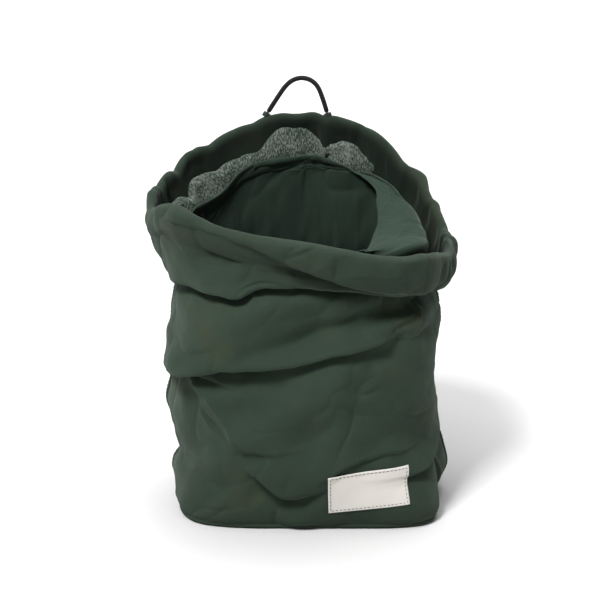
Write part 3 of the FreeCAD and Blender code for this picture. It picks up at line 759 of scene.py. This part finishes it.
base_cloth = base_disc("base_cloth", 1.1, 0.5, OUTER, CLOTH)
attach(base_cloth, "bag")
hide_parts("base_panel")

# ---- Seams --------
def along_wall(place, heights, lift):
    """(points up the wall at one place on the outline, unit directions out of the cloth)."""
    places = np.full_like(heights, place)
    here, out = outer(places, heights, lift), outer(places, heights, lift + 1.0)
    return here, out - here


for side, place in (("right", SIDE), ("left", -SIDE)):
    top = float(rim(np.array([place]))[0]) - CASING + 1.0
    heights = np.linspace(4.6, top, 150)
    across = np.linspace(-SEAM_HALF, SEAM_HALF, 9)
    lifts = 0.15 + 0.9 * (1.0 - (np.abs(across) / SEAM_HALF) ** 4)
    grid = np.stack([outer(place + a + 0.0 * heights, heights, lift) for a, lift in zip(across, lifts)], 1)
    seam = sheet("side_seam_" + side + "_cloth", grid, SEAM_CLOTH, OUTER, flat_map(across, heights))
    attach(seam, "bag")
    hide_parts("side_seam_" + side)
    for edge, shift in (("a", -1.7), ("b", 1.7)):
        path, out = along_wall(place + shift, heights, 0.95)
        row = stitches("side_seam_" + side + "_stitches_" + edge, path, out, STITCH, STITCH_GAP, 0.22, GREEN_THREAD)
        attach(row, "bag")

places = np.linspace(0.0, GIRTH, 420, endpoint=False)
rows, runs = [], []
for lean in np.linspace(-90, 90, 9):
    t = math.radians(lean)
    height = np.full_like(places, 2.6 + 1.5 * math.sin(t))
    rows.append(wall(places, height, -0.1 - 1.0 * math.cos(t) - 0.25 * ripple(places, 9.0, 51)))
    runs.append(lean / 30.0)
base_seam_cloth = sheet("base_seam_cloth", np.array(rows), SEAM_CLOTH, OUTER, flat_map(places, runs), closed=True)
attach(base_seam_cloth, "bag")
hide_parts("base_seam")


def casing_stitches(name, start, end, count):
    """Row of stitches that closes the casing, outside, just above its lower edge."""
    places = np.linspace(start, end, count)
    heights = rim(places) - CASING - 1.5
    here, out = outer(places, heights), outer(places, heights, 1.0)
    return stitches(name, here, out - here, STITCH, STITCH_GAP, 0.2, GREEN_THREAD)


front_stitches = casing_stitches("casing_stitches_front", -SIDE + 1.0, SIDE - 1.0, 500)
bend_with_lip(front_stitches)
back_stitches = casing_stitches("casing_stitches_back", SIDE + 1.0, 3 * SIDE - 1.0, 500)
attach(back_stitches, "bag")


# ---- Lining and inner sack --------
def lining(name, start, end, columns):
    places = np.linspace(start, end, columns)
    top = rim(places) - CASING + 2.5 + sum(max(more, 0.0) * np.exp(-(centred(places - centre) / half) ** 4)
                                           for centre, half, more in HEMS)
    rows, runs = [], []
    for share in np.linspace(0.0, 1.0, 90):
        height = LINING_BOTTOM + (top - LINING_BOTTOM) * share
        slack = smooth((top - height) / 30.0)
        lean = 1.3 * crumple(places, height, 26.0, 61, 1.6) + 0.7 * crumple(places, height, 11.0, 62, 1.4)
        lean = lean - 3.0 * np.exp(-((centred(places) + 300.0) / 7.0) ** 2) \
            - 2.5 * np.exp(-((centred(places) - 292.0) / 8.0) ** 2)
        behind = hollow(places, height) * smooth((top + 2.0 - height) / 6.0)
        rows.append(wall(places, height, LINING_INSET + 1.0 + behind + slack * np.clip(1.2 - 0.8 * lean, -0.5, 2.6)))
        runs.append(110.0 * share)
    return sheet(name, np.array(rows), LINING_CLOTH, MARL, flat_map(places, runs))


lining_back = lining("lining_back_cloth", SIDE - 0.5, 3 * SIDE + 0.5, 220)
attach(lining_back, "bag")
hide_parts("back_lining")
lining_front = lining("lining_front_cloth", -SIDE, SIDE, 220)
bend_with_lip(lining_front)
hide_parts("front_lining", "lip_lining")

# The inner sack's upper part at stations round it: (angle, where it folds inwards, its free edge)
SACK_STATIONS = (
    (0, (94, -8, 239), (60, -2, 242)), (22, (88, 18, 247), (60, 20, 250)), (45, (75, 37, 256), (59, 38, 257)),
    (62, (57, 56, 260), (45, 54, 265)), (78, (24, 63, 260), (20, 60, 275)), (90, (0, 64, 260), (0, 60, 278)),
    (113, (-48, 56, 252), (-46, 54, 271)), (135, (-73, 45, 232), (-70, 43, 251)), (160, (-97, 28, 222), (-91, 26, 242)),
    (180, (-101, 0, 218), (-95, 0, 238)), (225, (-77, -48, 224), (-73, -45, 240)), (270, (0, -63, 210), (0, -59, 230)),
    (300, (50, -59, 218), (40, -56, 232)), (320, (88, -49, 232), (49, -56, 234)), (342, (97, -28, 234), (56, -20, 236)),
)


def sack_line(angles, which):
    """Places of the fold (1) or the free edge (2) at angles round the sack."""
    rows = [[turn + st[0], *st[1], *st[2]] for turn in (-360, 0, 360) for st in SACK_STATIONS]
    line = smooth_line(rows, 8)
    columns = (1, 2, 3) if which == 1 else (4, 5, 6)
    return np.stack([np.interp(angles % 360.0, line[:, 0], line[:, c]) for c in columns], -1)


def through(points, count):
    """Rows of a Catmull-Rom curve through whole rings of points, evenly spread, count to each stretch."""
    p = [2 * points[0] - points[1]] + list(points) + [2 * points[-1] - points[-2]]
    rows = []
    for pieces, a, b, c, d in zip(count, p, p[1:], p[2:], p[3:]):
        rows += [between(a, b, c, d, t) for t in np.linspace(0, 1, pieces, endpoint=False)]
    return rows + [p[-2]]


def inner_sack():
    places = np.linspace(0.0, GIRTH, 560, endpoint=False)
    angles = angle_at(places)
    fold, edge = sack_line(angles, 1), sack_line(angles, 2)
    rings = [wall(places, np.full_like(places, z), SACK_INSET + more + hollow(places, np.full_like(places, z)))
             for z, more in ((2.8, 0.0), (40.0, 1.5), (85.0, 3.0), (130.0, 5.0), (170.0, 7.0))]
    low = np.minimum(202.0, fold[:, 2] - 16.0)
    rings.append(wall(places, low, SACK_INSET + 9.0 + hollow(places, low)))
    middle = 0.5 * (fold + edge)
    wide = np.linalg.norm((edge - fold)[:, :2], axis=1)
    middle[:, 2] += 0.05 * wide
    rings += [fold, middle, edge]
    rows = np.array(through(rings, (12, 14, 14, 14, 16, 24, 22, 22)))
    level = np.linspace(0.0, 1.0, len(rows))[:, None] + 0.0 * places
    run = 1000.0 * level * 0.26
    loose = smooth((level - 0.12) / 0.3)
    at = places[None, :]
    sway = loose * (2.2 * crumple(at, run, 34.0, 73, 1.4) + 1.2 * crumple(at + 0.4 * run, run, 13.0, 74, 2.0)
                    + 0.35 * crumple(at, run, 5.0, 75, 2.0)
                    - 1.4 * np.exp(-np.abs(crumple(at + 0.5 * run, run, 30.0, 76, 1.6)) / 0.15))
    sway *= 1.0 - 0.5 * smooth((level - 0.7) / 0.2)
    rows = rows - outward(rows, True) * np.maximum(sway + 0.6, -0.6)[..., None]
    # the free edge is turned under into a narrow hem
    way = rows[-1] - rows[-4]
    way /= np.linalg.norm(way, axis=1, keepdims=True)
    under = -outward(rows, True)[-1]
    hem = [rows[-1] + way * 0.5 - under * 0.2, rows[-1] + way * 0.8 + under * 0.5, rows[-1] + way * 0.3 + under * 1.2,
           rows[-1] - way * 2.5 + under * 1.3, rows[-1] - way * 5.0 + under * 0.9]
    rows = np.concatenate([rows, hem])
    lengths = np.concatenate([run[:, 0], run[-1, 0] + np.array([0.6, 1.4, 2.2, 5.0, 7.5])])
    return sheet("inner_sack_wall", rows, SACK_CLOTH, INNER, flat_map(places, lengths), closed=True)


sack_wall = inner_sack()
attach(sack_wall, "bag")
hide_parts("sack_back", "sack_front", "collar_back", "collar_front")
sack_floor = base_disc("inner_sack_floor", 2.6, SACK_INSET + 0.2, INNER, SACK_CLOTH)
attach(sack_floor, "bag")
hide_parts("sack_base")

# ---- Label --------
LABEL_PLACE, LABEL_HEIGHT = (53.5, 36.0), 33.0
LABEL_WIDTH, LABEL_TILT = 66.0, math.radians(5.0)


def label_point(across, up, lift):
    """A place on the label, from its middle."""
    right, down = 0.5 + across / LABEL_WIDTH, 0.5 - up / LABEL_HEIGHT
    place = LABEL_PLACE[0] + across * math.cos(LABEL_TILT) - up * math.sin(LABEL_TILT) \
        - 3.5 - 1.5 * right - 2.0 * down - 5.0 * right * down      # follows the square corner of the base
    height = LABEL_PLACE[1] + across * math.sin(LABEL_TILT) + up * math.cos(LABEL_TILT)
    point = np.zeros(np.broadcast(across, up).shape + (3,))
    for dx, dz in ((0, 0), (5, 0), (-5, 0), (0, 5), (0, -5)):     # tape is stiffer than the cloth under it
        point += outer(place + dx, height + dz, lift, 0.2) / 5.0
    return point


across, up = np.meshgrid(np.linspace(-LABEL_WIDTH / 2, LABEL_WIDTH / 2, 89),
                         np.linspace(-LABEL_HEIGHT / 2, LABEL_HEIGHT / 2, 43))
edge = np.minimum(LABEL_WIDTH / 2 - np.abs(across), LABEL_HEIGHT / 2 - np.abs(up))
lift = 1.0 + 0.35 * (1 - smooth((edge - 1.8) / 1.0)) - 0.5 * (1 - smooth(edge / 0.7)) \
    - 0.25 * np.exp(-((edge - 2.0) / 0.6) ** 2)
label = sheet("label_tape", label_point(across, up, lift), 0.5, TAPE, np.stack([across, up], -1))
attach(label, "bag")
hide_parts("label")

half_x, half_z = LABEL_WIDTH / 2 - 2.0, LABEL_HEIGHT / 2 - 2.0
corners = np.array([(-half_x, -half_z), (half_x, -half_z), (half_x, half_z), (-half_x, half_z), (-half_x, -half_z)])
track = np.concatenate([np.linspace(a, b, 60) for a, b in zip(corners, corners[1:])])
here, above = (label_point(track[:, 0], track[:, 1], np.full(len(track), lift)) for lift in (1.0, 2.0))
label_stitches = stitches("label_stitches", here, above - here, 2.1, 1.1, 0.28, DARK_THREAD)
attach(label_stitches, "bag")

# ---- Cord --------
BIGHT_ROUTE = (                     # control points in metres, as in the solid model
    (-0.0290, 0.075846, 0.312858), (-0.0217, 0.076146, 0.324658), (-0.0123, 0.076846, 0.337558),
    (-0.0008, 0.077346, 0.341058), (0.0101, 0.077046, 0.336158), (0.0154, 0.076346, 0.324258),
    (0.0187, 0.075846, 0.312858))


def route_line(name, points):
    """Points, in millimetres, along a NURBS spline whose control points are given in metres."""
    curve = bpy.data.curves.new(name, "CURVE")
    curve.dimensions = "3D"
    spline = curve.splines.new("NURBS")
    spline.points.add(len(points) - 1)
    for knot, p in zip(spline.points, points):
        knot.co = (*p, 1.0)
    spline.order_u = 3
    spline.use_endpoint_u = True
    spline.resolution_u = 12
    route = bpy.data.objects.new(name, curve)
    bpy.context.scene.collection.objects.link(route)
    line = bpy.data.meshes.new_from_object(route)
    found = np.array([v.co for v in line.vertices], float) / MM
    bpy.data.objects.remove(route)
    bpy.data.meshes.remove(line)
    return found


line = route_line("bight_route", BIGHT_ROUTE)
bight = tube("cord_bight_braid", line, CORD_RADIUS, BRAID, 18)
length = float(np.linalg.norm(np.diff(line, axis=0), axis=1).sum()) * MM
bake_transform(bight)
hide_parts("cord_leg_left", "cord_leg_right", "cord_bight")


def cord_in_casing(name, start, end):
    """The cord inside the casing, which shows only where the cloth is lifted."""
    places = np.linspace(start, end, 26)
    route = wall(places, rim(places) - CASING / 2, 1.0)
    return tube(name, route_line(name + "_route", np.array(route) * MM), CORD_RADIUS - 0.1, BRAID, 12)


cord_front = cord_in_casing("cord_in_lip_braid", -SIDE + 1.0, SIDE - 1.0)
bend_with_lip(cord_front)
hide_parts("cord_in_lip")
cord_right = cord_in_casing("cord_in_casing_right_braid", SIDE + 1.0, 2 * SIDE - 20.0)
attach(cord_right, "bag")
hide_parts("cord_in_back_casing")
cord_left = cord_in_casing("cord_in_casing_left_braid", 2 * SIDE + 30.0, 3 * SIDE - 1.0)
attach(cord_left, "bag")


# The bound buttonholes keep their solid shapes.
def binding(name):
    """Close satin stitches round a buttonhole."""
    material, w, shader = finish_of(name, 0.6, 0.2)
    at = w.node("TexCoord").outputs["Object"]
    rows = w.node("TexWave", {"Vector": at, "Scale": 900.0, "Distortion": 1.0, "Detail": 1.0},
                  bands_direction="Z").outputs["Fac"]
    dress(w, shader, w.mix(rows, (0.010, 0.018, 0.012, 1), (0.030, 0.048, 0.034, 1)), rows, 0.6, 0.0002)
    return material


bound = binding("buttonhole binding")
for name in ("buttonhole_left", "buttonhole_right"):
    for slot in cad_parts[name].material_slots:
        slot.material = bound

# ---- Floor, light and camera --------
def white_with_painted_shadow(name, colour):
    """White, a little greyer under the bag where a soft shadow is painted, and glowing more and more away from it, as a
    backdrop lit from behind looks.
    """
    material, w, shader = finish_of(name, 0.9)
    at = w.node("TexCoord").outputs["Object"]
    away = w.node("VectorMath", {0: at}, operation="LENGTH").outputs["Value"]
    # painted shadow: within about 0.12 to 0.26 m of the bag the floor's colour falls to 80 per cent
    dress(w, shader, w.mix(w.band(away, 0.12, 0.26), tuple(0.80 * c for c in colour) + (1,), colour + (1,)))
    glow = w.mix(w.band(away, 0.3, 2.4), (0.0, 0.0, 0.0, 1), (1.0, 1.0, 1.0, 1))
    w.give(shader.inputs["Emission Color"], glow)
    shader.inputs["Emission Strength"].default_value = 0.6
    return material


def floor():
    """Floor that curves up into a backdrop."""
    path = [(-14.0, 0.0)] + [(y, 0.0) for y in np.linspace(-1.0, 2.0, 7)]
    path += [(2.0 + 1.2 * math.sin(t), 1.2 - 1.2 * math.cos(t)) for t in np.linspace(0.1, math.pi / 2, 14)]
    path += [(3.2, 4.0)]
    points = [(x / MM, y / MM, z / MM) for y, z in path for x in (-14.0, 14.0)]
    faces = [(2 * k, 2 * k + 1, 2 * k + 3, 2 * k + 2) for k in range(len(path) - 1)]
    return mesh("floor", points, faces, white_with_painted_shadow("white floor", (0.74, 0.74, 0.74)))


floor()


def aim(thing, place, target):
    thing.location = place
    thing.rotation_mode = "QUATERNION"
    thing.rotation_quaternion = (Vector(target) - Vector(place)).to_track_quat("-Z", "Y")


def lamp(name, place, size, power):
    data = bpy.data.lights.new(name, "AREA")
    data.shape, data.size, data.size_y, data.energy = "RECTANGLE", size[0], size[1], power
    made = bpy.data.objects.new(name, data)
    aim(made, place, (0.0, 0.0, 0.15))
    bpy.context.scene.collection.objects.link(made)
    return made


lamp("window", (-0.75, -1.1, 2.15), (0.6, 0.6), 65.0)
lamp("overhead", (0.2, 0.4, 2.7), (1.6, 1.6), 43.0)
lamp("fill", (1.9, -1.6, 0.9), (1.4, 1.4), 4.5)

world = bpy.data.worlds.new("studio")
world.use_nodes = True
world.node_tree.nodes["Background"].inputs["Color"].default_value = (1.0, 1.0, 1.0, 1)
world.node_tree.nodes["Background"].inputs["Strength"].default_value = 0.12
bpy.context.scene.world = world
bpy.context.scene.view_settings.view_transform = "Standard"
bpy.context.scene.view_settings.look = "Medium High Contrast"

CAMERA_LENS, CAMERA_RANGE, CAMERA_RISE = 102.4, 1.4, math.radians(20.0)
CAMERA_AIM = (-0.0033, 0.0, 0.1722)
camera = bpy.data.objects.new("camera", bpy.data.cameras.new("camera"))
camera.data.lens, camera.data.sensor_width = CAMERA_LENS, 36.0
aim(camera, (CAMERA_AIM[0], -CAMERA_RANGE * math.cos(CAMERA_RISE),
             CAMERA_AIM[2] + CAMERA_RANGE * math.sin(CAMERA_RISE)), CAMERA_AIM)
bpy.context.scene.collection.objects.link(camera)
bpy.context.scene.camera = camera
